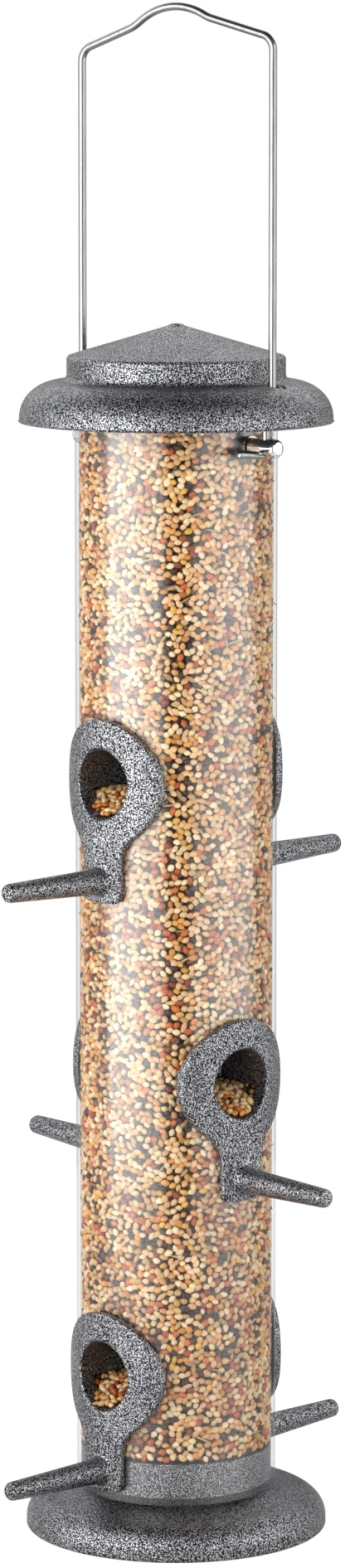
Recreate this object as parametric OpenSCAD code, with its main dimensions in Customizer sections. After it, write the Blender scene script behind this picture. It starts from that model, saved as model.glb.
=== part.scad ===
// Hanging tube feeder for wild birds: a clear seed tube with three pairs of
// cast feeding ports, a cast base, and a cast lid that slides up a wire bail.
// Millimetres. +Z is up, the origin is the centre of the base's resting face,
// and the bail's two pins lie on the X axis.

/* [Tube] */
// Outside diameter of the clear tube
tube_d = 63.5; // [62.5:0.1:64]
// Wall thickness of the clear tube
tube_wall = 1.2; // [1:0.1:1.8]
// Height of the tube's lower edge
tube_bottom = 14; // [13.8:0.1:15]
// Height of the tube's upper edge, inside the lid
tube_top = 372.5; // [370:0.1:372.5]

/* [Ports] */
// Height of the middle of the top pair's mouths
port_top_z = 243.4; // [235:0.1:260]
// Height from one pair of ports to the next
port_pitch = 94.6; // [90:0.1:94.6]
// Turn of the top and bottom pairs from square to the bail's pins, in degrees
outer_turn = 1.2; // [0:0.1:2]
// Turn of the middle pair from the other two, in degrees
middle_turn = 84.2; // [60:0.1:90]
// Radius of the plate's round head
head_r = 20.4; // [18:0.1:21]
// Width of the tab below the head
tab_w = 15.9; // [15:0.1:18.6]
// Drop from the mouth's centre to the tab's lower edge
tab_drop = 37.5; // [36.5:0.1:38]
// Thickness of the plate over the tube
plate_t = 2.35; // [1.8:0.05:2.6]
// Radius of the mouth's clear bore
mouth_r = 10.6; // [9:0.1:10.8]
// Distance from the tube's axis to the inner end of the hood
hood_end = 8; // [4:0.5:16]
// Drop from the mouth's centre to the hood's lower edge
hood_drop = 3; // [0:0.5:5]

/* [Perches] */
// Drop from the mouth's centre to the perch
perch_drop = 30.6; // [30.2:0.1:31]
// Distance from the tube's axis to the perch's tip
perch_reach = 73.8; // [60:0.1:80]
// Perch radius at its root
perch_root_r = 4.1; // [3.8:0.1:4.4]
// Perch radius at its tip
perch_tip_r = 3; // [2.6:0.1:3.4]
// Rise of the perch towards its tip, in degrees
perch_rise = 0.9; // [0:0.1:2]
// Diameter of the tie rod between two opposite perches
rod_d = 4; // [3.5:0.1:4.2]

/* [Lid] */
// Height of the lid's peak
lid_peak = 385.5; // [385.3:0.1:387]
// Height of the upper edge of the lid's upright band
band_top = 375.6; // [375.5:0.05:376]
// Outside radius of the upright band
band_r = 34.3; // [34.2:0.1:35.2]
// Height of the lower edge of the upright band
band_bottom = 369.8; // [369.6:0.1:370.2]
// Radius of the hollow between band and brim
band_fillet = 2.2; // [2:0.1:2.7]
// Outside radius of the brim
brim_r = 49.2; // [48.5:0.1:50]
// Drop of the brim's rounded shoulder
brim_drop = 11.5; // [11:0.1:12]
// Thickness of the lid
lid_wall = 1.4; // [1.3:0.1:1.5]
// Diameter of the lid's two wire holes
wire_hole_d = 6.6; // [6.2:0.1:7]
// Turn of the wire holes from the bail's pins, in degrees
wire_hole_turn = 7; // [6:0.5:8]

/* [Bail] */
// Diameter of the wire
wire_d = 2.5; // [2.2:0.1:2.6]
// Distance from the tube's axis to each upright leg
leg_x = 38.5; // [38.4:0.05:38.7]
// Height of the wire's centre line at the crest
crest_z = 483.4; // [482.5:0.1:495]
// Radius of the crest's bend
crest_r = 25.4; // [23:0.1:27]
// Radius of each shoulder corner
corner_r = 5; // [4:0.1:7]
// Steepest slope of the crest and slope of the shoulder, on the left, in degrees
left_slopes = [35.5, 19];
// The same two slopes on the right
right_slopes = [25.5, 13.6];

/* [Bail pins] */
// Height of the pins' axis
pin_z = 348.5; // [347:0.1:349.5]
// Outside diameter of each pin
pin_d = 5.8; // [5.4:0.1:6]
// Distance from the tube's axis to each pin's outer end
pin_reach = 43.9; // [42.5:0.1:45]
// Distance from the tube's axis to the wire where it enters a pin
pin_wire_x = 38.4; // [37.5:0.1:39]
// Diameter of the pin's shank, which turns in the bush
shank_d = 4; // [3.6:0.1:4.2]

/* [Base] */
// Outside radius of the base
base_r = 48.1; // [46:0.1:50]
// Radius of the base's rounded shoulder
shoulder_r = 8.1; // [7:0.1:8.3]
// Height where the shoulder starts
shoulder_z = 2.6; // [2:0.1:3]
// Slope of the base's upper face, in degrees
base_slope = 11; // [8:0.5:12]
// Height of the joint between the base and the cup
cup_bottom = 16; // [15.8:0.1:16.2]
// Height of the cup's rim
cup_top = 27; // [26.5:0.1:30]

/* [Seed] */
// Height to which the tube is filled
seed_top = 356; // [300:1:357]

/* [Hidden] */

$fn = 64;
touch = 0.05;          // gap between two pieces that are clamped together
tube_r = tube_d / 2;
bore_r = tube_r - tube_wall;
plate_r = tube_r + touch + plate_t;
levels = [0, 1, 2];    // top, middle and bottom pair of ports

// Mouth, hood and spigot of a port
mouth_wall = 1.6;
spigot_r = mouth_r + mouth_wall;
spigot_end = 26.8;
mouth_lip = 0.9;       // chamfer round the mouth
waist_r = 12;          // hollow between head and tab
tab_corner = 3;
perch_fillet = 2.4;
perch_end_round = 1.3;
rod_grip = 9.5;        // length of rod inside each perch casting
rod_half = tube_r + rod_grip;

// Wire bail
flare_r = 18;          // reverse bend between crest and shoulder
crank_r = 4;
crank_turn = 30;
crank_top = band_bottom - 4.5;
crank_step = sqrt(pow(leg_x, 2) - pow(pin_wire_x, 2));
crank_line = (crank_step - 2 * crank_r * (1 - cos(crank_turn))) / sin(crank_turn);
crank_drop = 2 * crank_r * sin(crank_turn) + crank_line * cos(crank_turn);
leg_turn = acos(pin_wire_x / leg_x);
hook_r = 2;
hook_z = pin_z - 2.2;
hook_rise = 5;
hook_line = 10.4;
wire_trim = 0.02;      // gap that a knuckle covers between two lengths of wire
knuckle_lip = 0.03;
wire_slack = 0.3;      // wire hole in the pin, over the wire's diameter
wire_hole_x = 38.3;    // distance from the axis to each wire hole in the lid

// Pins, bushes and clips
bush_d = 6;
bush_flange_d = 7;
bush_inner = 29.6;
bush_outer = 32.5;
pin_shoulder = bush_outer + 0.35;
shank_end = 27.2;
clip_d = 9;
clip_outer = bush_inner - 0.3;
clip_t = 0.8;

// Base, cup and screw
neck_r = 25;
neck_fillet = 1.5;
foot_round = 1;
base_wall = 3;
foot_w = 3.6;
web_bottom = 12.4;     // underside of the web that the screw clamps
cup_r = bore_r - 0.2;
cup_wall = 1.8;
cup_floor = 2;
boss_r = 6;
boss_top = 20.8;
screw_d = 5;
screw_head_d = 9;
screw_head_t = 3;
screw_socket = 4.4;
washer_d = 12;
washer_t = 1;

// ---------- helpers ----------

// Points of an arc, from angle a to angle b
function arc(centre, r, a, b, steps = 12) =
    [for (i = [0:steps]) let (t = a + (b - a) * i / steps) centre + r * [cos(t), sin(t)]];

// Points of an oval arc with half-widths rx and ry
function oval(centre, rx, ry, a, b, steps = 12) =
    [for (i = [0:steps]) let (t = a + (b - a) * i / steps) centre + [rx * cos(t), ry * sin(t)]];

function port_z(level) = port_top_z - level * port_pitch;
function pair_turn(level) = (level == 1 ? middle_turn : 0) - 90 - outer_turn;

// Puts children, drawn for a pair of ports on the X axis, at one level
module at_pair(level) {
    translate([0, 0, port_z(level)]) rotate([0, 0, pair_turn(level)]) children();
}

// A cylinder along X, from one X to another
module bar(r, from, to) {
    translate([from, 0, 0]) rotate([0, 90, 0]) cylinder(r = r, h = to - from);
}

// The right-hand side of the feeder, or the left-hand side, half a turn away
module on_side(side) {
    rotate([0, 0, side == "right" ? 0 : 180]) children();
}

// ---------- tube and seed ----------

module tube() {
    length = tube_top - tube_bottom;
    color("lightcyan", 0.35)
    difference() {
        translate([0, 0, tube_bottom]) cylinder(r = tube_r, h = length, $fn = 128);
        translate([0, 0, tube_bottom - 1]) cylinder(r = bore_r, h = length + 2, $fn = 128);
        for (level = levels) at_pair(level) {
            bar(spigot_r + 0.2, -tube_d, tube_d);
            translate([0, 0, -perch_drop]) bar(rod_d / 2 + 0.3, -tube_d, tube_d);
        }
        translate([0, 0, pin_z]) bar(bush_d / 2 + touch, -tube_d, tube_d);
    }
}

// Loose seed, as one solid that leaves room for the ports, rods and pins
module seed_fill() {
    gap = 0.3;
    color("burlywood")
    difference() {
        union() {
            translate([0, 0, cup_bottom + cup_floor + gap])
                cylinder(r = cup_r - cup_wall - gap, h = cup_top);
            translate([0, 0, cup_top + gap])
                cylinder(r = bore_r - gap, h = seed_top - cup_top - gap);
        }
        for (level = levels) at_pair(level) {
            bar(spigot_r + gap, -tube_d, tube_d);
            translate([0, 0, -perch_drop]) bar(rod_d / 2 + gap, -tube_d, tube_d);
        }
        for (side = ["right", "left"]) on_side(side)
            translate([0, 0, pin_z]) bar(clip_d / 2 + gap, shank_end - 0.5, tube_d);
        translate([0, 0, cup_bottom]) cylinder(r = boss_r + gap, h = boss_top - cup_bottom + gap);
    }
}

// ---------- ports ----------

// Outline of the plate: a round head, a waist and a tab, seen from outside
module plate_outline() {
    waist_x = tab_w / 2 + waist_r;
    waist_y = -sqrt(pow(head_r + waist_r, 2) - pow(waist_x, 2));
    circle(r = head_r, $fn = 96);
    difference() {
        polygon([[0, 0], [waist_x, waist_y], [-waist_x, waist_y]]);
        for (x = [-waist_x, waist_x]) translate([x, waist_y]) circle(r = waist_r);
    }
    translate([-tab_w / 2, -tab_drop + tab_corner]) square([tab_w, tab_drop + waist_y]);
    translate([-tab_w / 2 + tab_corner, -tab_drop]) square([tab_w - 2 * tab_corner, tab_drop + waist_y]);
    for (x = [-1, 1])
        translate([x * (tab_w / 2 - tab_corner), -tab_drop + tab_corner]) circle(r = tab_corner);
}

// The part of a shell round the tube that the plate's outline covers
module plate() {
    intersection() {
        difference() {
            translate([0, 0, -tab_drop - 1]) cylinder(r = plate_r, h = tab_drop + head_r + 2, $fn = 128);
            translate([0, 0, -tab_drop - 2]) cylinder(r = tube_r + touch, h = tab_drop + head_r + 4, $fn = 128);
        }
        rotate([90, 0, 90]) translate([0, 0, tube_r / 2]) linear_extrude(tube_r) plate_outline();
    }
}

// The round collar that passes through the tube wall
module spigot() {
    intersection() {
        bar(spigot_r, spigot_end, tube_r + plate_t);
        translate([0, 0, -head_r]) cylinder(r = plate_r, h = 2 * head_r, $fn = 128);
    }
}

// The roof that keeps the seed above from pouring out of the mouth
module hood() {
    intersection() {
        difference() {
            bar(spigot_r, hood_end, spigot_end + 1);
            bar(mouth_r, hood_end + mouth_wall, spigot_end + 2);
        }
        translate([0, -head_r, -hood_drop]) cube([tube_r, 2 * head_r, head_r + hood_drop]);
    }
}

// A tapered round bar with a fillet at its root and a rounded end
module perch() {
    root = plate_r - 0.7;
    length = perch_reach - root;
    profile = concat(
        [[0, -1.2], [perch_root_r + perch_fillet, -1.2]],
        arc([perch_root_r + perch_fillet, perch_fillet], perch_fillet, 270, 180, 6),
        arc([perch_tip_r - perch_end_round, length - perch_end_round], perch_end_round, 0, 90, 6),
        [[0, length]]
    );
    translate([root, 0, -perch_drop]) rotate([0, 90 - perch_rise, 0]) rotate_extrude() polygon(profile);
}

// One casting, with its mouth pointing along +X
module port_casting() {
    difference() {
        union() {
            plate();
            spigot();
            hood();
            perch();
        }
        bar(mouth_r, spigot_end - 1, plate_r + 1);
        translate([plate_r - mouth_lip * 2, 0, 0]) rotate([0, 90, 0])
            cylinder(r1 = mouth_r - 0.1, r2 = mouth_r + mouth_lip + 0.2, h = mouth_lip * 2 + 0.3);
        translate([0, 0, -perch_drop]) bar(rod_d / 2 + touch, tube_r - 4, rod_half + 1);
    }
}

// side is 1 for the port on the pair's own axis, and -1 for the opposite one
module port(level, side) {
    color("slategray") at_pair(level) rotate([0, 0, side > 0 ? 0 : 180]) port_casting();
}

module tie_rod(level) {
    color("silver") at_pair(level) translate([0, 0, -perch_drop]) bar(rod_d / 2, -rod_half, rod_half);
}

// ---------- base ----------

module base_disc() {
    shoulder_c = [base_r - shoulder_r, shoulder_z];
    shoulder_end = shoulder_c + shoulder_r * [sin(base_slope), cos(base_slope)];
    function top_at(r) = shoulder_end[1] + (shoulder_end[0] - r) * tan(base_slope);
    inner_r = shoulder_r - base_wall;
    hollow_r = base_r - foot_w;
    outer = concat(
        [[0, cup_bottom - touch], [neck_r, cup_bottom - touch]],
        arc([neck_r + neck_fillet, top_at(neck_r) + neck_fillet + 0.3], neck_fillet, 180, 260, 6),
        arc(shoulder_c, shoulder_r, 90 - base_slope, 0, 16),
        arc([base_r - foot_round, foot_round], foot_round, 0, -90, 6)
    );
    under = concat(
        [[hollow_r, 0], [hollow_r, shoulder_z]],
        arc([hollow_r - inner_r, shoulder_z], inner_r, 0, 90 - base_slope, 8),
        [[neck_r - base_wall, web_bottom], [0, web_bottom]]
    );
    color("slategray")
    difference() {
        rotate_extrude($fn = 128) polygon(concat(outer, under));
        cylinder(d = screw_d + 0.4, h = tube_bottom * 2);
    }
}

module base_cup() {
    color("slategray")
    difference() {
        translate([0, 0, cup_bottom]) cylinder(r = cup_r, h = cup_top - cup_bottom, $fn = 128);
        difference() {
            translate([0, 0, cup_bottom + cup_floor]) cylinder(r = cup_r - cup_wall, h = cup_top, $fn = 128);
            cylinder(r = boss_r, h = boss_top);
        }
        translate([0, 0, cup_bottom - 1]) cylinder(d = screw_d + 2 * touch, h = boss_top - cup_bottom);
        at_pair(2) translate([0, 0, -perch_drop]) bar(rod_d / 2 + 0.2, -tube_d, tube_d);
    }
}

module base_screw() {
    head_top = web_bottom - washer_t - touch;
    color("silver")
    difference() {
        union() {
            translate([0, 0, head_top - screw_head_t]) cylinder(d = screw_head_d, h = screw_head_t);
            translate([0, 0, head_top - 0.5]) cylinder(d = screw_d, h = boss_top - 1.6 - head_top);
        }
        translate([0, 0, head_top - screw_head_t - 1])
            cylinder(d = screw_socket, h = 2.8, $fn = 6);
    }
}

module base_washer() {
    color("silver")
    translate([0, 0, web_bottom - washer_t - touch / 2])
    difference() {
        cylinder(d = washer_d, h = washer_t);
        translate([0, 0, -1]) cylinder(d = screw_d + 0.4, h = washer_t + 2);
    }
}

// ---------- bail ----------

// A ball, a hair thicker than the wire, that joins two lengths of it
module knuckle(d) {
    sphere(d = d + 2 * knuckle_lip, $fn = 32);
}

// A straight length of wire along Z, and what follows it
module wire_line(d, length) {
    translate([0, 0, wire_trim]) cylinder(d = d, h = length - 2 * wire_trim, $fn = 32);
    translate([0, 0, length]) {
        knuckle(d);
        children();
    }
}

// A bend that starts along Z and turns towards X, and what follows it
module wire_bend(d, r, turn) {
    trim = wire_trim / r * 180 / PI;
    translate([r, 0, 0]) rotate([90, 0, 180]) rotate([0, 0, trim])
        rotate_extrude(angle = turn - 2 * trim) translate([r, 0]) circle(d = d, $fn = 32);
    translate([r * (1 - cos(turn)), 0, r * sin(turn)]) rotate([0, turn, 0]) {
        knuckle(d);
        children();
    }
}

// The same bend the other way
module wire_bend_back(d, r, turn) {
    rotate([0, 0, 180]) wire_bend(d, r, turn) rotate([0, 0, 180]) children();
}

// Lower end of a leg: straight down into the pin, then a bend towards -Y
module wire_foot(d) {
    top = crank_top - crank_drop;
    translate([pin_wire_x, 0, top]) rotate([0, 180, 0])
        wire_line(d, top - hook_z - hook_r)
            rotate([0, 0, -90]) wire_bend(d, hook_r, 90 + hook_rise) wire_line(d, hook_line);
}

// Half of the bail, from the crest down to the crank that the lid rests on. The
// cranks step sideways, so the legs stand a little round from the pins.
module wire_half(slopes) {
    steep = slopes[0];
    slope = slopes[1];
    run = leg_x - crest_r * sin(steep) - flare_r * (sin(steep) - sin(slope)) - corner_r * (1 - sin(slope));
    shoulder = run / cos(slope);
    leg_top = crest_z - crest_r * (1 - cos(steep)) - flare_r * (cos(slope) - cos(steep))
        - shoulder * sin(slope) - corner_r * cos(slope);
    translate([0, 0, crest_z]) rotate([0, 90, leg_turn])
        wire_bend(wire_d, crest_r, steep)
        wire_bend_back(wire_d, flare_r, steep - slope)
        wire_line(wire_d, shoulder)
        wire_bend(wire_d, corner_r, 90 - slope)
        wire_line(wire_d, leg_top - crank_top)
        rotate([0, 0, leg_turn - 90])
        wire_bend(wire_d, crank_r, crank_turn)
        wire_line(wire_d, crank_line)
        wire_bend_back(wire_d, crank_r, crank_turn);
    wire_foot(wire_d);
}

module bail_wire() {
    color("silver") {
        translate([0, 0, crest_z]) knuckle(wire_d);
        on_side("right") wire_half(right_slopes);
        on_side("left") wire_half(left_slopes);
    }
}

// A stud with a domed end, a hole down through it and a notch to the front
// that the bent end of the wire sits in
module bail_pin(side) {
    end_round = 1.6;
    hole = wire_d + wire_slack;
    notch_w = hole + 0.2;
    length = pin_reach - pin_shoulder;
    profile = concat(
        [[0, 0], [pin_d / 2, 0]],
        arc([pin_d / 2 - end_round, length - end_round], end_round, 0, 90, 6),
        [[0, length]]
    );
    color("silver") on_side(side)
    difference() {
        translate([0, 0, pin_z]) {
            translate([pin_shoulder, 0, 0]) rotate([0, 90, 0]) rotate_extrude() polygon(profile);
            bar(shank_d / 2, shank_end, pin_shoulder + 1);
        }
        wire_foot(hole);
        translate([pin_wire_x - notch_w / 2, -pin_d, pin_z - pin_d])
            cube([notch_w, pin_d, hook_z - pin_z + pin_d]);
    }
}

// Flanged bush in the tube wall
module pin_bush(side) {
    color("dimgray") on_side(side) translate([0, 0, pin_z])
    difference() {
        union() {
            bar(bush_d / 2, bush_inner, bush_outer);
            difference() {
                bar(bush_flange_d / 2, tube_r - 1, bush_outer);
                translate([0, 0, -bush_d]) cylinder(r = tube_r + touch, h = 2 * bush_d, $fn = 128);
            }
        }
        bar(shank_d / 2 + 0.05, bush_inner - 1, bush_outer + 1);
    }
}

// Two push-on rings that hold the pins from inside the tube
module pin_clips() {
    color("silver")
    for (side = ["right", "left"]) on_side(side) translate([0, 0, pin_z])
    difference() {
        bar(clip_d / 2, clip_outer - clip_t, clip_outer);
        bar(shank_d / 2 + 0.01, clip_outer - clip_t - 1, clip_outer + 1);
    }
}

// ---------- lid ----------

module lid() {
    fillet_c = [band_r + band_fillet, band_bottom];
    brim_c = [fillet_c[0], band_bottom - band_fillet - brim_drop];
    brim_w = brim_r - brim_c[0];
    lip = 0.3;
    lip_z = brim_c[1] - 1.1;
    edge = 1.3;
    peak_r = 3;
    cone = atan((lid_peak - band_top) / (band_r - edge));
    under = lid_wall / cos(cone);
    inner_peak = [0, lid_peak - under];
    inner_edge = [band_r - lid_wall, lid_peak - under - (band_r - lid_wall) * tan(cone)];
    outer = concat(
        [[0, lid_peak], [peak_r * 0.6, lid_peak - 0.25], [peak_r, lid_peak - peak_r * tan(cone)]],
        arc([band_r - edge, band_top - edge], edge, 90 - cone, 0, 4),
        arc(fillet_c, band_fillet, 180, 270, 8),
        oval(brim_c, brim_w, brim_drop, 90, 0, 20),
        [[brim_r, lip_z + 0.5], [brim_r + lip, lip_z], [brim_r + lip - 0.2, lip_z - 0.2],
         [brim_r - lid_wall, lip_z - 0.2]]
    );
    inner = concat(
        oval(brim_c, brim_w - lid_wall, brim_drop - lid_wall, 0, 90, 20),
        arc(fillet_c, band_fillet + lid_wall, 270, 180, 8),
        [inner_edge, inner_peak]
    );
    color("slategray")
    difference() {
        rotate_extrude($fn = 128) polygon(concat(outer, inner));
        for (turn = [0, 180]) rotate([0, 0, wire_hole_turn + turn])
            translate([wire_hole_x, 0, brim_c[1]]) cylinder(d = wire_hole_d, h = 2 * brim_drop);
    }
}

tube();
base_disc();
base_cup();
base_screw();
base_washer();
seed_fill();
port(0, 1);  // port_top_front
port(0, -1);  // port_top_back
port(1, 1);  // port_middle_right
port(1, -1);  // port_middle_left
port(2, 1);  // port_bottom_front
port(2, -1);  // port_bottom_back
tie_rod(0);  // tie_rod_top
tie_rod(1);  // tie_rod_middle
tie_rod(2);  // tie_rod_bottom
pin_bush("right");  // pin_bush_right
pin_bush("left");  // pin_bush_left
bail_wire();
bail_pin("right");  // bail_pin_right
bail_pin("left");  // bail_pin_left
pin_clips();
lid();
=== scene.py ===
"""Clear tube bird feeder: seed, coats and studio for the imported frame."""

import math

import bmesh
import bpy
import numpy as np
from mathutils import Matrix, Vector


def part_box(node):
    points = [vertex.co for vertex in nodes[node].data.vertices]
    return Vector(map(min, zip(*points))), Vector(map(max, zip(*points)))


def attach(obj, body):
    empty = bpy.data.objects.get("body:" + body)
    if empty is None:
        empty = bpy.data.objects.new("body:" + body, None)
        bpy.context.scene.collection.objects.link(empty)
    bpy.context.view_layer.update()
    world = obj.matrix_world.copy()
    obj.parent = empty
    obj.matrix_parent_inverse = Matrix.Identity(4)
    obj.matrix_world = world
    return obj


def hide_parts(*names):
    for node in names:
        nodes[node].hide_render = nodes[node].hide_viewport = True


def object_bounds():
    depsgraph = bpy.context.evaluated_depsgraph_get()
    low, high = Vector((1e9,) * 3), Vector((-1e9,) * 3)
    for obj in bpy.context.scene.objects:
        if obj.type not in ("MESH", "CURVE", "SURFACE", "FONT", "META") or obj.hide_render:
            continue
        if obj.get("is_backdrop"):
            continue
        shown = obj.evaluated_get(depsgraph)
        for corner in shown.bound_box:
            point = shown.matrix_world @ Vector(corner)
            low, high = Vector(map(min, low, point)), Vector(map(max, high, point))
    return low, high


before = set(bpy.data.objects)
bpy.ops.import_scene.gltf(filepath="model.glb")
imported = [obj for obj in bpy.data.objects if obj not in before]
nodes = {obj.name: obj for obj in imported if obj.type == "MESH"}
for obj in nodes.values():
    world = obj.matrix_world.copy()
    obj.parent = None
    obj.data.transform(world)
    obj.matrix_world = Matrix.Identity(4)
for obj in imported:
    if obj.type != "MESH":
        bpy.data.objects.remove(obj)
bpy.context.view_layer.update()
MM = 0.001
rng = np.random.default_rng(7)

# Sizes, in metres, that repeat the model's own
BORE_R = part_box("base_cup")[1].x + 0.2 * MM
CUP_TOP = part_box("base_cup")[1].z
SEED_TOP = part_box("seed_fill")[1].z
HEAD_R = 20.4 * MM
MOUTH_R = 10.6 * MM
SPIGOT_R = 12.2 * MM
HOOD_END = 8 * MM
HOOD_DROP = 3 * MM
SPIGOT_END = 26.8 * MM
ROD_DROP = 30.6 * MM     # the tie rods' depth under the mouths' centres
ROD_R = 2 * MM
PIN_Z = 348.5 * MM       # height of the bail's pins
PIN_START = 27 * MM      # how far out a pin and its clip begin
PIN_ROOM = 4.5 * MM      # radius that they take up
PORTS = ["port_top_front", "port_top_back", "port_middle_right", "port_middle_left",
         "port_bottom_front", "port_bottom_back"]
PORT_TURN = {"port_top_front": -91.2, "port_top_back": 88.8, "port_middle_right": -7,
             "port_middle_left": 173, "port_bottom_front": -91.2, "port_bottom_back": 88.8}
PORT_Z = {name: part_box(name)[1].z - HEAD_R for name in PORTS}


# ---------- materials ----------

class Nodes:
    """A node tree, with short calls to add and join nodes."""

    def __init__(self, owner, output, place):
        owner.use_nodes = True
        self.tree = owner.node_tree
        self.tree.nodes.clear()
        self.out = self.add(output)
        self.place = self.add("ShaderNodeTexCoord").outputs[place]

    def add(self, kind, **values):
        node = self.tree.nodes.new(kind)
        for key, value in values.items():
            if key in node.inputs:
                node.inputs[key].default_value = value
            else:
                setattr(node, key, value)
        return node

    def join(self, source, target):
        self.tree.links.new(source, target)

    def noise(self, scale, detail=2.0, rough=0.5, place=None):
        node = self.add("ShaderNodeTexNoise")
        node.inputs["Scale"].default_value = scale
        node.inputs["Detail"].default_value = detail
        node.inputs["Roughness"].default_value = rough
        self.join(place or self.place, node.inputs["Vector"])
        return node.outputs["Fac"]

    def tinted(self, colour, tint):
        """One colour multiplied by another."""
        node = self.add("ShaderNodeMix", data_type="RGBA", blend_type="MULTIPLY")
        node.inputs["Factor"].default_value = 1.0
        self.join(colour, node.inputs["A"])
        self.join(tint, node.inputs["B"])
        return node.outputs["Result"]

    def mixed(self, share, first, second):
        """Two shaders, with share of the second."""
        node = self.add("ShaderNodeMixShader")
        self.join(share, node.inputs["Fac"])
        self.join(first, node.inputs[1])
        self.join(second, node.inputs[2])
        self.join(node.outputs["Shader"], self.out.inputs["Surface"])

    def ramp(self, fac, stops):
        node = self.add("ShaderNodeValToRGB")
        while len(node.color_ramp.elements) < len(stops):
            node.color_ramp.elements.new(0.5)
        for element, (at, colour) in zip(node.color_ramp.elements, stops):
            element.position = at
            element.color = (*colour, 1) if len(colour) == 3 else colour
        self.join(fac, node.inputs["Fac"])
        return node.outputs["Color"]

    def span(self, fac, low, high):
        node = self.add("ShaderNodeMapRange")
        node.inputs["To Min"].default_value = low
        node.inputs["To Max"].default_value = high
        self.join(fac, node.inputs["Value"])
        return node.outputs["Result"]

    def seen_directly(self, share):
        """Share on the rays that come straight from the camera, and 0 on all others."""
        return self.span(self.add("ShaderNodeLightPath").outputs["Is Camera Ray"], 0.0, share)

    def principled(self, **values):
        node = self.add("ShaderNodeBsdfPrincipled")
        for key, value in values.items():
            node.inputs[key.replace("_", " ")].default_value = value
        self.join(node.outputs["BSDF"], self.out.inputs["Surface"])
        return node

    def bump(self, height, shader, strength, distance):
        node = self.add("ShaderNodeBump")
        node.inputs["Strength"].default_value = strength
        node.inputs["Distance"].default_value = distance
        self.join(height, node.inputs["Height"])
        self.join(node.outputs["Normal"], shader.inputs["Normal"])


class Shader(Nodes):
    """A new material's nodes."""

    def __init__(self, name):
        self.mat = bpy.data.materials.new(name)
        super().__init__(self.mat, "ShaderNodeOutputMaterial", "Object")


def hammered():
    """Silver-vein coat on cast metal: bright flecks that stand up from a dark ground."""
    s = Shader("hammered_coat")
    fleck = s.noise(2450, 1.5, 0.45)
    patch = s.noise(70, 2.0, 0.5)
    colour = s.ramp(fleck, [(0.44, (0.010, 0.011, 0.013)), (0.51, (0.085, 0.088, 0.095)),
                            (0.585, (0.55, 0.555, 0.57))])
    patches = s.ramp(patch, [(0.3, (0.86, 0.86, 0.88)), (0.7, (1.0, 1.0, 1.0))])
    p = s.principled(Metallic=0.85, IOR=1.5)
    s.join(s.tinted(colour, patches), p.inputs["Base Color"])
    s.join(s.span(fleck, 0.38, 0.26), p.inputs["Roughness"])
    s.bump(fleck, p, 1.0, 0.00022)
    return s.mat


def drawn_wire():
    """Bright wire with fine lines drawn out along its length."""
    s = Shader("bright_drawn_wire")
    stretch = s.add("ShaderNodeMapping")
    stretch.inputs["Scale"].default_value = (1, 1, 0.03)
    s.join(s.place, stretch.inputs["Vector"])
    grain = s.noise(3000, 2.0, 0.6, stretch.outputs["Vector"])
    p = s.principled(Metallic=1.0)
    s.join(s.ramp(grain, [(0.3, (0.23, 0.225, 0.22)), (0.7, (0.37, 0.37, 0.36))]), p.inputs["Base Color"])
    s.join(s.span(grain, 0.16, 0.28), p.inputs["Roughness"])
    s.bump(grain, p, 0.1, 0.00003)
    return s.mat


def polished(name, colour, rough):
    """Plain metal with a little wear in its colour and gloss."""
    s = Shader(name)
    wear = s.noise(420, 3.0, 0.6)
    p = s.principled(Metallic=1.0)
    low = tuple(c * 0.9 for c in colour)
    s.join(s.ramp(wear, [(0.35, low), (0.65, colour)]), p.inputs["Base Color"])
    s.join(s.span(wear, rough * 0.7, rough * 1.4), p.inputs["Roughness"])
    s.bump(wear, p, 0.05, 0.00002)
    return s.mat


def clear_tube():
    """Clear plastic: what is behind shows through, with broad soft reflections over it."""
    s = Shader("clear_tube")
    weight = s.add("ShaderNodeLayerWeight")
    weight.inputs["Blend"].default_value = 0.5
    facing = weight.outputs["Facing"]
    see = s.add("ShaderNodeBsdfTransparent")
    s.join(s.ramp(facing, [(0.0, (1, 1, 1)), (0.66, (0.98, 0.985, 0.99)), (0.95, (0.84, 0.85, 0.86))]),
           see.inputs["Color"])
    gloss = s.add("ShaderNodeBsdfGlossy")
    gloss.inputs["Color"].default_value = (1, 1, 1, 1)
    haze = s.noise(14, 3.0, 0.5)
    s.join(s.span(haze, 0.16, 0.26), gloss.inputs["Roughness"])
    glare = [(0.0, 0.022), (0.03, 0.04), (0.12, 0.075), (0.28, 0.085), (0.5, 0.05), (0.85, 0.09),
             (1.0, 0.6)]
    share = s.ramp(facing, [(at, (value,) * 3) for at, value in glare])
    s.mixed(share, see.outputs["BSDF"], gloss.outputs["BSDF"])
    return s.mat


def seed_coat(name, dark=1.0):
    """Each seed's own colour from the mesh, with a mottled husk; a dark below 1 darkens it all as painted
    shade.
    """
    s = Shader(name)
    own = s.add("ShaderNodeAttribute", attribute_name="husk")
    mottle = s.noise(1700, 2.0, 0.6)
    spots = s.ramp(mottle, [(0.3, (0.80 * dark, 0.76 * dark, 0.70 * dark)), (0.65, (dark, dark, dark))])
    p = s.principled(IOR=1.42)
    s.join(s.tinted(own.outputs["Color"], spots), p.inputs["Base Color"])
    s.join(s.span(mottle, 0.36, 0.52), p.inputs["Roughness"])
    s.bump(mottle, p, 0.12, 0.00008)
    return s.mat


def shaded_core_seed():
    """Seed in the dark behind the loose ones, coloured brown to near black as painted shade, darkest at its
    cells' edges.
    """
    s = Shader("seed_core")
    cells = s.add("ShaderNodeTexVoronoi")
    cells.inputs["Scale"].default_value = 420
    s.join(s.place, cells.inputs["Vector"])
    depth = cells.outputs["Distance"]
    p = s.principled(Roughness=0.8)
    s.join(s.ramp(depth, [(0.1, (0.10, 0.05, 0.02)), (0.7, (0.02, 0.01, 0.006))]), p.inputs["Base Color"])
    s.bump(depth, p, -0.5, 0.001)
    return s.mat


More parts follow.
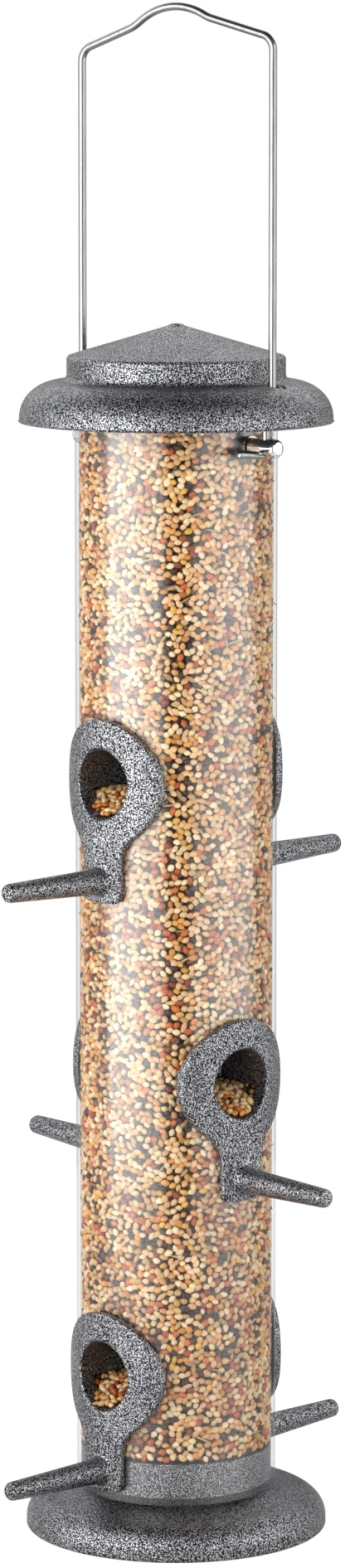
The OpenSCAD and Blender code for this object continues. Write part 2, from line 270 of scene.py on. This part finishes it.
COAT = hammered()
WIRE = drawn_wire()
CHROME = polished("pin_chrome", (0.86, 0.87, 0.88), 0.08)
STEEL = polished("plated_steel", (0.66, 0.66, 0.64), 0.28)
BUSH = polished("bush_nickel", (0.52, 0.50, 0.48), 0.20)
CLIP = polished("clip_blackened", (0.05, 0.045, 0.04), 0.35)
CLEAR = clear_tube()
SEED = seed_coat("seed_husk")
# Half-bright copy of the seed colour, as painted shade on the layer behind the wall seeds.
SEED_DEEP_SHADED = seed_coat("seed_husk_deep_shaded", 0.5)
# Copy at 0.85, as painted shade on the seed in the mouths under the hoods.
SEED_SHADE = seed_coat("seed_husk_shade", 0.85)
# Near-black core colour, as painted shade behind the seed layers.
SEED_CORE_SHADED = shaded_core_seed()


def dress(obj, material):
    obj.data.materials.clear()
    obj.data.materials.append(material)


def placed(name, data):
    """A new object in the scene."""
    obj = bpy.data.objects.new(name, data)
    bpy.context.scene.collection.objects.link(obj)
    return obj


def stand_in(name, mesh, node, body, material, smooth=True):
    """A piece on a body that takes a CAD node's place, with that slot's finish."""
    obj = placed(name, mesh)
    dress(obj, material)
    if smooth:
        mesh.shade_smooth()
    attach(obj, body)
    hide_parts(node)


# ---------- castings ----------

def softened(node, voxel, rounds):
    """A copy of a CAD node's mesh with the small radii that a casting has on its edges."""
    obj = placed("work", nodes[node].data.copy())
    remesh = obj.modifiers.new("remesh", "REMESH")
    remesh.mode = "VOXEL"
    remesh.voxel_size = voxel
    smooth = obj.modifiers.new("smooth", "SMOOTH")
    smooth.factor = 0.5
    smooth.iterations = rounds
    thin = obj.modifiers.new("thin", "DECIMATE")
    thin.ratio = 0.35
    made = bpy.data.meshes.new_from_object(obj.evaluated_get(bpy.context.evaluated_depsgraph_get()))
    bpy.data.objects.remove(obj)
    return made


casting = softened("port_top_front", 0.42 * MM, 6)
for name in PORTS:
    mesh = casting.copy()
    mesh.transform(Matrix.Translation((0, 0, PORT_Z[name] - PORT_Z["port_top_front"]))
                   @ Matrix.Rotation(math.radians(PORT_TURN[name] - PORT_TURN["port_top_front"]), 4, "Z"))
    stand_in(name.replace("port", "casting"), mesh, name, "feeder", COAT)

FINISHES = {
    COAT: ("base_disc", "base_cup", "lid"),
    CLEAR: ("tube",),
    CHROME: ("bail_pin_right", "bail_pin_left"),
    BUSH: ("pin_bush_right", "pin_bush_left"),
    CLIP: ("pin_clips",),
    STEEL: ("base_screw", "base_washer", "tie_rod_top", "tie_rod_middle", "tie_rod_bottom"),
}
for material, names in FINISHES.items():
    for name in names:
        dress(nodes[name], material)


# ---------- bail wire ----------

WIRE_D = 2.5 * MM
LEG_X = 38.5 * MM
PIN_WIRE_X = 38.4 * MM
CREST_Z = 483.4 * MM
CREST_R = 25.4 * MM
FLARE_R = 18 * MM
CORNER_R = 5 * MM
CRANK_R = 4 * MM
CRANK_TURN = 30
CRANK_TOP = 365.3 * MM
HOOK_R = 2 * MM
HOOK_Z = 346.3 * MM
HOOK_RISE = 5
HOOK_LINE = 10.4 * MM
LEFT_SLOPES = (35.5, 19)     # a shoulder's fall beside the crest, and further out, in degrees
RIGHT_SLOPES = (25.5, 13.6)
END_EASE = 0.3               # length of the eased end of a bar, in its radii
END_R = 0.72                 # radius of the very end, in its radii


class Route:
    """A centre line drawn by going ahead and bending, as wire is formed."""

    def __init__(self, at, heading):
        self.points = [at]
        self.heading = heading

    def ahead(self, length, steps=1):
        for _ in range(steps):
            self.points.append(self.points[-1] + self.heading * length / steps)

    def bend(self, towards, radius, turn, steps=10):
        start, first = self.points[-1], self.heading
        for i in range(1, steps + 1):
            a = math.radians(turn) * i / steps
            self.points.append(start + towards * radius * (1 - math.cos(a)) + first * radius * math.sin(a))
        a = math.radians(turn)
        self.heading = first * math.cos(a) + towards * math.sin(a)
        return towards * math.cos(a) - first * math.sin(a)


def half_bail(slopes):
    """From the crest to the hooked end of the right leg, as the model's own half."""
    steep, slope = slopes
    sin_a, sin_b = math.sin(math.radians(steep)), math.sin(math.radians(slope))
    cos_a, cos_b = math.cos(math.radians(steep)), math.cos(math.radians(slope))
    run = LEG_X - CREST_R * sin_a - FLARE_R * (sin_a - sin_b) - CORNER_R * (1 - sin_b)
    leg_top = (CREST_Z - CREST_R * (1 - cos_a) - FLARE_R * (cos_b - cos_a) - run / cos_b * sin_b
               - CORNER_R * cos_b)
    step = math.sqrt(LEG_X ** 2 - PIN_WIRE_X ** 2)
    tilt = math.radians(CRANK_TURN)
    crank_line = (step - 2 * CRANK_R * (1 - math.cos(tilt))) / math.sin(tilt)
    crank_drop = 2 * CRANK_R * math.sin(tilt) + crank_line * math.cos(tilt)
    out = Vector((PIN_WIRE_X / LEG_X, step / LEG_X, 0))
    back, front = Vector((0, 1, 0)), Vector((0, -1, 0))
    route = Route(Vector((0, 0, CREST_Z)), out)
    down = route.bend(Vector((0, 0, -1)), CREST_R, steep, 16)
    route.bend(-down, FLARE_R, steep - slope)
    route.ahead(run / cos_b, 6)
    inward = Vector((-sin_b * out.x, -sin_b * out.y, -cos_b))
    route.bend(inward, CORNER_R, 90 - slope, 16)
    route.ahead(leg_top - CRANK_TOP, 12)
    over = route.bend(front, CRANK_R, CRANK_TURN, 8)
    route.ahead(crank_line, 2)
    route.bend(-over, CRANK_R, CRANK_TURN, 8)
    route.ahead(CRANK_TOP - crank_drop - HOOK_Z - HOOK_R, 3)
    route.bend(front, HOOK_R, 90 + HOOK_RISE, 12)
    route.ahead(HOOK_LINE, 4)
    return route.points


def swept(name, points, radius, sides):
    """A round bar along points, with slightly rounded ends."""
    points = [p for i, p in enumerate(points) if i == 0 or (p - points[i - 1]).length > 1e-6]
    headings = [(points[min(i + 1, len(points) - 1)] - points[max(i - 1, 0)]).normalized()
                for i in range(len(points))]
    side = headings[0].orthogonal().normalized()
    bm = bmesh.new()
    rings = []

    def ring(at, heading, r):
        across = heading.cross(side)
        turns = [2 * math.pi * j / sides for j in range(sides)]
        rings.append([bm.verts.new(at + r * (math.cos(t) * side + math.sin(t) * across)) for t in turns])

    last = len(points) - 1
    for i, (at, heading) in enumerate(zip(points, headings)):
        side = (side - heading * side.dot(heading)).normalized()
        ease = heading * radius * END_EASE
        if i == 0:
            ring(at, heading, radius * END_R)
            at = at + ease
        if i == last:
            at = at - ease
        ring(at, heading, radius)
        if i == last:
            ring(at + ease, heading, radius * END_R)
    for a, b in zip(rings, rings[1:]):
        for j in range(sides):
            k = (j + 1) % sides
            bm.faces.new((a[j], a[k], b[k], b[j]))
    bm.faces.new(rings[0][::-1])
    bm.faces.new(rings[-1])
    bmesh.ops.recalc_face_normals(bm, faces=bm.faces)
    mesh = bpy.data.meshes.new(name)
    bm.to_mesh(mesh)
    bm.free()
    return mesh


half_turn = Matrix.Rotation(math.pi, 4, "Z")
left = [half_turn @ p for p in half_bail(LEFT_SLOPES)]
formed = swept("formed_wire", left[::-1] + half_bail(RIGHT_SLOPES)[1:], WIRE_D / 2, 20)
stand_in("formed_wire", formed, "bail_wire", "bail", WIRE)


# ---------- seed ----------

KINDS = [  # share, half length, half width, half thickness (mm), pointedness, colours
    (0.40, 1.32, 0.97, 0.80, 0.34, [(0.76, 0.47, 0.21), (0.80, 0.54, 0.27), (0.68, 0.38, 0.14)]),
    (0.19, 1.30, 0.95, 0.80, 0.34, [(0.87, 0.68, 0.42), (0.83, 0.62, 0.35)]),
    (0.15, 1.28, 0.94, 0.78, 0.30, [(0.72, 0.31, 0.055), (0.62, 0.24, 0.04), (0.76, 0.40, 0.055)]),
    (0.11, 1.32, 1.00, 0.86, 0.26, [(0.48, 0.095, 0.018), (0.58, 0.15, 0.02), (0.28, 0.055, 0.018)]),
    (0.08, 1.20, 0.92, 0.80, 0.22, [(0.03, 0.017, 0.014), (0.06, 0.03, 0.02)]),
    (0.06, 1.75, 0.78, 0.64, 0.42, [(0.68, 0.42, 0.19), (0.48, 0.28, 0.12)]),
    (0.01, 3.20, 0.32, 0.22, 0.50, [(0.62, 0.45, 0.24), (0.46, 0.32, 0.16)]),
]
PLUMP = np.array([1.1, 1.13, 1.02])  # how much fuller every kind is made, along its three sizes
LEVEL = 1.3              # how strongly the seeds lie with their long side level
LIP_N = 33.3 * MM        # how far out the seed in a mouth reaches
LIP_SEED = -9.3 * MM     # its height there, from the mouth's centre
REPOSE = 0.5             # slope of the seed in a mouth


def seed_form(segments, rings):
    """A unit ball with its poles on X, as points and faces."""
    points = [(-1.0, 0.0, 0.0)]
    for i in range(1, rings):
        a = math.pi * i / rings
        for j in range(segments):
            b = 2 * math.pi * (j + 0.5 * (i % 2)) / segments
            points.append((-math.cos(a), math.sin(a) * math.cos(b), math.sin(a) * math.sin(b)))
    points.append((1.0, 0.0, 0.0))
    last = len(points) - 1
    faces = []
    for j in range(segments):
        k = (j + 1) % segments
        faces.append((0, 1 + k, 1 + j))
        faces.append((last, last - segments + j, last - segments + k))
        for i in range(rings - 2):
            a, b = 1 + i * segments + j, 1 + i * segments + k
            c, d = a + segments, b + segments
            if i % 2:
                faces += [(a, b, c), (b, d, c)]
            else:
                faces += [(a, b, d), (a, d, c)]
    return np.array(points), np.array(faces)


def seeds(name, at, out, form, material, lay=0.35):
    """One piece of many seeds. at: centres; out: the way each seed's flat side faces."""
    count = len(at)
    shares = np.array([k[0] for k in KINDS])
    kind = rng.choice(len(KINDS), count, p=shares / shares.sum())
    half = np.array([k[1:4] for k in KINDS])[kind] * PLUMP * MM
    half *= rng.normal(1.0, 0.06, (count, 1)).clip(0.85, 1.15)
    half *= rng.normal(1.0, 0.04, (count, 3)).clip(0.9, 1.1)
    taper = np.array([k[4] for k in KINDS])[kind]
    up = out + rng.normal(0, lay, (count, 3))
    up /= np.linalg.norm(up, axis=1, keepdims=True)
    along = np.cross(up, rng.normal(0, 1, (count, 3)) + [0, 0, LEVEL])
    along /= np.linalg.norm(along, axis=1, keepdims=True)
    across = np.cross(up, along)
    points, faces = form
    local = points[None] * half[:, None]
    pinch = 1 - taper[:, None] * (points[None, :, 0] ** 2 + 0.25 * points[None, :, 0])
    local[:, :, 1] *= pinch
    local[:, :, 2] *= pinch
    world = (local[:, :, :1] * along[:, None] + local[:, :, 1:2] * across[:, None]
             + local[:, :, 2:] * up[:, None] + at[:, None])
    n = len(points)
    mesh = bpy.data.meshes.new(name)
    mesh.vertices.add(count * n)
    mesh.vertices.foreach_set("co", world.reshape(-1).astype(np.float32))
    index = (faces[None] + (np.arange(count) * n)[:, None, None]).reshape(-1)
    mesh.loops.add(len(index))
    mesh.loops.foreach_set("vertex_index", index.astype(np.int32))
    mesh.polygons.add(len(index) // 3)
    mesh.polygons.foreach_set("loop_start", np.arange(0, len(index), 3, dtype=np.int32))
    mesh.update(calc_edges=True)
    colours = np.ones((count, 4))
    for i in range(count):
        choice = KINDS[kind[i]][5]
        colours[i, :3] = choice[rng.integers(len(choice))]
    colours[:, :3] *= rng.normal(1.0, 0.10, (count, 1)).clip(0.75, 1.2)
    colours[:, :3] *= rng.normal(1.0, 0.03, (count, 3))
    layer = mesh.color_attributes.new("husk", "FLOAT_COLOR", "POINT")
    layer.data.foreach_set("color", np.repeat(colours.clip(0, 1), n, axis=0).reshape(-1).astype(np.float32))
    stand_in(name, mesh, "seed_fill", "feeder", material)


def scatter(width, height, gap, wrap, tries=40):
    """Random points at least gap apart in a width by height sheet; wrap joins its two sides."""
    cell = gap / math.sqrt(2)
    across = max(1, int(width / cell))
    cell_w = width / across
    grid = {}
    kept = []
    throws = int(width * height / gap ** 2 * tries)
    xs, ys = rng.random(throws) * width, rng.random(throws) * height
    for x, y in zip(xs.tolist(), ys.tolist()):
        cx, cy = int(x / cell_w), int(y / cell)
        if (cx % across, cy) in grid:
            continue
        clear = True
        for dx in (-2, -1, 0, 1, 2):
            for dy in (-2, -1, 0, 1, 2):
                key = ((cx + dx) % across if wrap else cx + dx, cy + dy)
                other = grid.get(key)
                if other is None:
                    continue
                ox = abs(other[0] - x)
                if wrap:
                    ox = min(ox, width - ox)
                if ox * ox + (other[1] - y) ** 2 < gap * gap:
                    clear = False
                    break
            if not clear:
                break
        if clear:
            grid[(cx % across, cy)] = (x, y)
            kept.append((x, y))
    return np.array(kept)


def port_frame(name):
    """A port's outward and sideways directions and the centre of its mouth on the axis."""
    a = math.radians(PORT_TURN[name])
    out, side = [math.cos(a), math.sin(a), 0.0], [-math.sin(a), math.cos(a), 0.0]
    return np.array(out), np.array(side), np.array([0.0, 0.0, PORT_Z[name]])


def clear_of_fittings(at, slack):
    """Which points keep off the hoods, spigots, tie rods and bail pins."""
    keep = np.ones(len(at), bool)
    for name in PORTS:
        out, side, centre = port_frame(name)
        rel = at - centre
        n, t, z = rel @ out, rel @ side, rel[:, 2]
        keep &= ~((n > HOOD_END - slack) & (np.hypot(t, z) < SPIGOT_R + slack))
        keep &= ~((n > 0) & (np.hypot(t, z + ROD_DROP) < ROD_R + slack))
    from_pins = np.hypot(at[:, 1], at[:, 2] - PIN_Z)
    keep &= ~((np.abs(at[:, 0]) > PIN_START - slack) & (from_pins < PIN_ROOM + slack))
    return keep


def wall_layer(radius, gap, low, high, jitter):
    """Seeds round the tube, radius out or up to jitter less, with the way that each faces."""
    sheet = scatter(2 * math.pi * radius, high - low, gap, True)
    angle = sheet[:, 0] / radius
    r = radius - rng.random(len(sheet)) * jitter
    at = np.column_stack([r * np.cos(angle), r * np.sin(angle), low + sheet[:, 1]])
    out = np.column_stack([np.cos(angle), np.sin(angle), np.zeros(len(sheet))])
    keep = clear_of_fittings(at, 1.1 * MM)
    return at[keep], out[keep]


def heap_height(n):
    """Height of the seed in a mouth over the mouth's centre, n outward from the tube's axis."""
    return np.minimum(-HOOD_DROP - 0.7 * MM, LIP_SEED + (LIP_N - n) * REPOSE)


ROUND = seed_form(8, 4)
ROUGH = seed_form(5, 3)

# The layer against the tube, in bands, and the one behind it, drawn half as bright as painted shade
BANDS = 5
WALL_R = BORE_R - 0.88 * MM
WALL_GAP = 1.72 * MM
SECOND_R = BORE_R - 2.6 * MM
SECOND_GAP = 2.0 * MM
low, high = CUP_TOP + 1.2 * MM, SEED_TOP - 1.4 * MM
at, out = wall_layer(WALL_R, WALL_GAP, low, high, 0.35 * MM)
edges = [low + (high - low) * i / BANDS for i in range(BANDS + 1)]
edges[0], edges[-1] = -1, 1  # the end bands take whatever lies at the very ends
for i in range(BANDS):
    pick = (at[:, 2] >= edges[i]) & (at[:, 2] < edges[i + 1])
    seeds(f"seed_wall_{i}", at[pick], out[pick], ROUND, SEED)
at, out = wall_layer(SECOND_R, SECOND_GAP, low, high, 0.5 * MM)
seeds("seed_second", at, out, ROUGH, SEED_DEEP_SHADED)

# The top of the fill, two layers in low uneven heaps
TOP_GAP = 2.25 * MM
TOP_LAYER = 1.6 * MM
TOP_RISE = 0.8 * MM
sheet = np.concatenate([scatter(2 * BORE_R, 2 * BORE_R, TOP_GAP, False) - BORE_R for _ in range(2)])
sheet = sheet[np.hypot(sheet[:, 0], sheet[:, 1]) < BORE_R - 1.6 * MM]
level = np.where(np.arange(len(sheet)) < len(sheet) / 2, 0.0, -TOP_LAYER)
rise = TOP_RISE * np.sin(sheet[:, 0] / (9 * MM)) * np.cos(sheet[:, 1] / (7 * MM))
at = np.column_stack([sheet, SEED_TOP - 2.2 * MM + rise + level])
seeds("seed_surface", at, np.tile([0.0, 0.0, 1.0], (len(at), 1)), ROUND, SEED)

# Seed that has run out under the hoods into the mouths, a little darker as painted shade
HEAP_START = 5 * MM
HEAP_WIDTH = 27 * MM
HEAP_GAP = 1.7 * MM
heap_at, heap_out = [], []
for name in PORTS:
    out, side, centre = port_frame(name)
    for depth in (0.0, 1.5 * MM, 3.0 * MM):
        sheet = scatter(HEAP_WIDTH, LIP_N - HEAP_START, HEAP_GAP, False)
        t, n = sheet[:, 0] - HEAP_WIDTH / 2, sheet[:, 1] + HEAP_START
        z = heap_height(n) - depth
        inside = (n < SPIGOT_END - 1.2 * MM) | (np.hypot(t, z) < MOUTH_R - 0.9 * MM)
        t, n, z = t[inside], n[inside], z[inside]
        heap_at.append(centre + n[:, None] * out + t[:, None] * side + z[:, None] * [0, 0, 1])
        heap_out.append(np.tile(0.3 * out + [0, 0, 1.0], (len(t), 1)))
seeds("seed_heaps", np.concatenate(heap_at), np.concatenate(heap_out), ROUND, SEED_SHADE, 0.6)

# The imported seed behind, drawn in from the wall and the top, which closes the gaps between the seeds,
# coloured near black as painted shade
CORE_IN = 4.2 * MM
CORE_DOWN = 4 * MM
core = nodes["seed_fill"].data.copy()
for v in core.vertices:
    r = math.hypot(v.co.x, v.co.y)
    if r > 20 * MM:
        v.co.x *= (r - CORE_IN) / r
        v.co.y *= (r - CORE_IN) / r
    if v.co.z > SEED_TOP - 1 * MM:
        v.co.z -= CORE_DOWN
stand_in("seed_core", core, "seed_fill", "feeder", SEED_CORE_SHADED, smooth=False)


# ---------- studio ----------

def floor():
    """A round pale floor, which shows nearly white."""
    mesh = bpy.data.meshes.new("floor")
    bm = bmesh.new()
    bmesh.ops.create_circle(bm, cap_ends=True, segments=96, radius=0.55)
    bm.to_mesh(mesh)
    bm.free()
    obj = placed("floor", mesh)
    s = Shader("floor_paint")
    paint = s.principled(Roughness=0.7)
    s.join(s.ramp(s.noise(3, 2.0, 0.5), [(0.3, (0.78, 0.78, 0.78)), (0.7, (0.82, 0.82, 0.82))]),
           paint.inputs["Base Color"])
    seen = s.add("ShaderNodeEmission")
    seen.inputs["Strength"].default_value = 1.1
    s.mixed(s.seen_directly(0.85), paint.outputs["BSDF"], seen.outputs["Emission"])
    dress(obj, s.mat)
    obj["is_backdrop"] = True


def softbox(name, turn, elevation, width, height, power):
    """A soft panel that faces the tube, turned from the camera's side by so many degrees."""
    light = bpy.data.lights.new(name, "AREA")
    light.shape = "RECTANGLE"
    light.size, light.size_y = width, height
    light.energy = power
    obj = placed(name, light)
    a, e = math.radians(CAMERA_AZIMUTH + turn), math.radians(elevation)
    back = Vector((math.sin(a) * math.cos(e), -math.cos(a) * math.cos(e), math.sin(e)))
    obj.location = back * PANEL_REACH + Vector((0, 0, PANEL_Z))
    obj.rotation_mode = "QUATERNION"
    obj.rotation_quaternion = back.to_track_quat("Z", "Y")


def room():
    """Soft grey light from all round, and a white backdrop."""
    world = bpy.data.worlds.new("studio")
    bpy.context.scene.world = world
    n = Nodes(world, "ShaderNodeOutputWorld", "Generated")
    split = n.add("ShaderNodeSeparateXYZ")
    n.join(n.place, split.inputs["Vector"])
    tones = [(0.0, 0.16), (0.35, 0.22), (0.7, 0.25), (0.95, 0.04)]
    sky = n.ramp(split.outputs["Z"], [(at, (tone, tone * 1.01, tone * 1.03)) for at, tone in tones])
    light = n.add("ShaderNodeBackground")
    n.join(sky, light.inputs["Color"])
    backdrop = n.add("ShaderNodeBackground")
    backdrop.inputs["Color"].default_value = (1, 1, 1, 1)
    n.mixed(n.seen_directly(1.0), light.outputs["Background"], backdrop.outputs["Background"])


def camera():
    """A long lens level with the bail's crest, which looks slightly down."""
    scene = bpy.context.scene
    scene.view_settings.view_transform = "Standard"
    obj = placed("camera", bpy.data.cameras.new("camera"))
    scene.camera = obj
    obj.data.sensor_fit = "VERTICAL"
    obj.data.sensor_width = obj.data.sensor_height = 36
    obj.data.lens = LENS
    obj.data.clip_end = 200
    a, pitch = math.radians(CAMERA_AZIMUTH), math.radians(CAMERA_PITCH)
    right = Vector((math.cos(a), math.sin(a), 0))
    near = Vector((math.sin(a), -math.cos(a), 0))
    obj.location = near * CAMERA_REACH + Vector((0, 0, CAMERA_Z)) - right * CAMERA_LEFT
    aim = Vector((-math.sin(a) * math.cos(pitch), math.cos(a) * math.cos(pitch), -math.sin(pitch)))
    obj.rotation_mode = "QUATERNION"
    obj.rotation_quaternion = aim.to_track_quat("-Z", "Y")


PANEL_REACH = 1.3        # from the feeder's middle height
PANEL_Z = 0.24
PANEL_H = 1.7
CAMERA_AZIMUTH = 43.87
CAMERA_PITCH = 8.18
CAMERA_REACH = 1.7083
CAMERA_Z = 0.48565
CAMERA_LEFT = 0.00117
LENS = 125.4
floor()
softbox("left_panel", -50, 5, 1.9, PANEL_H, 35)
softbox("left_side_panel", -102, 5, 0.6, PANEL_H, 2.5)
softbox("right_panel", 61, 5, 2.4, PANEL_H, 22)
softbox("back_right_panel", 130, 5, 1.1, PANEL_H, 3)
softbox("back_left_panel", -138, 5, 1.1, PANEL_H, 3)
softbox("top_back_panel", 180, 41, 2.2, 0.72, 6.5)
room()
camera()

low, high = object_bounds()
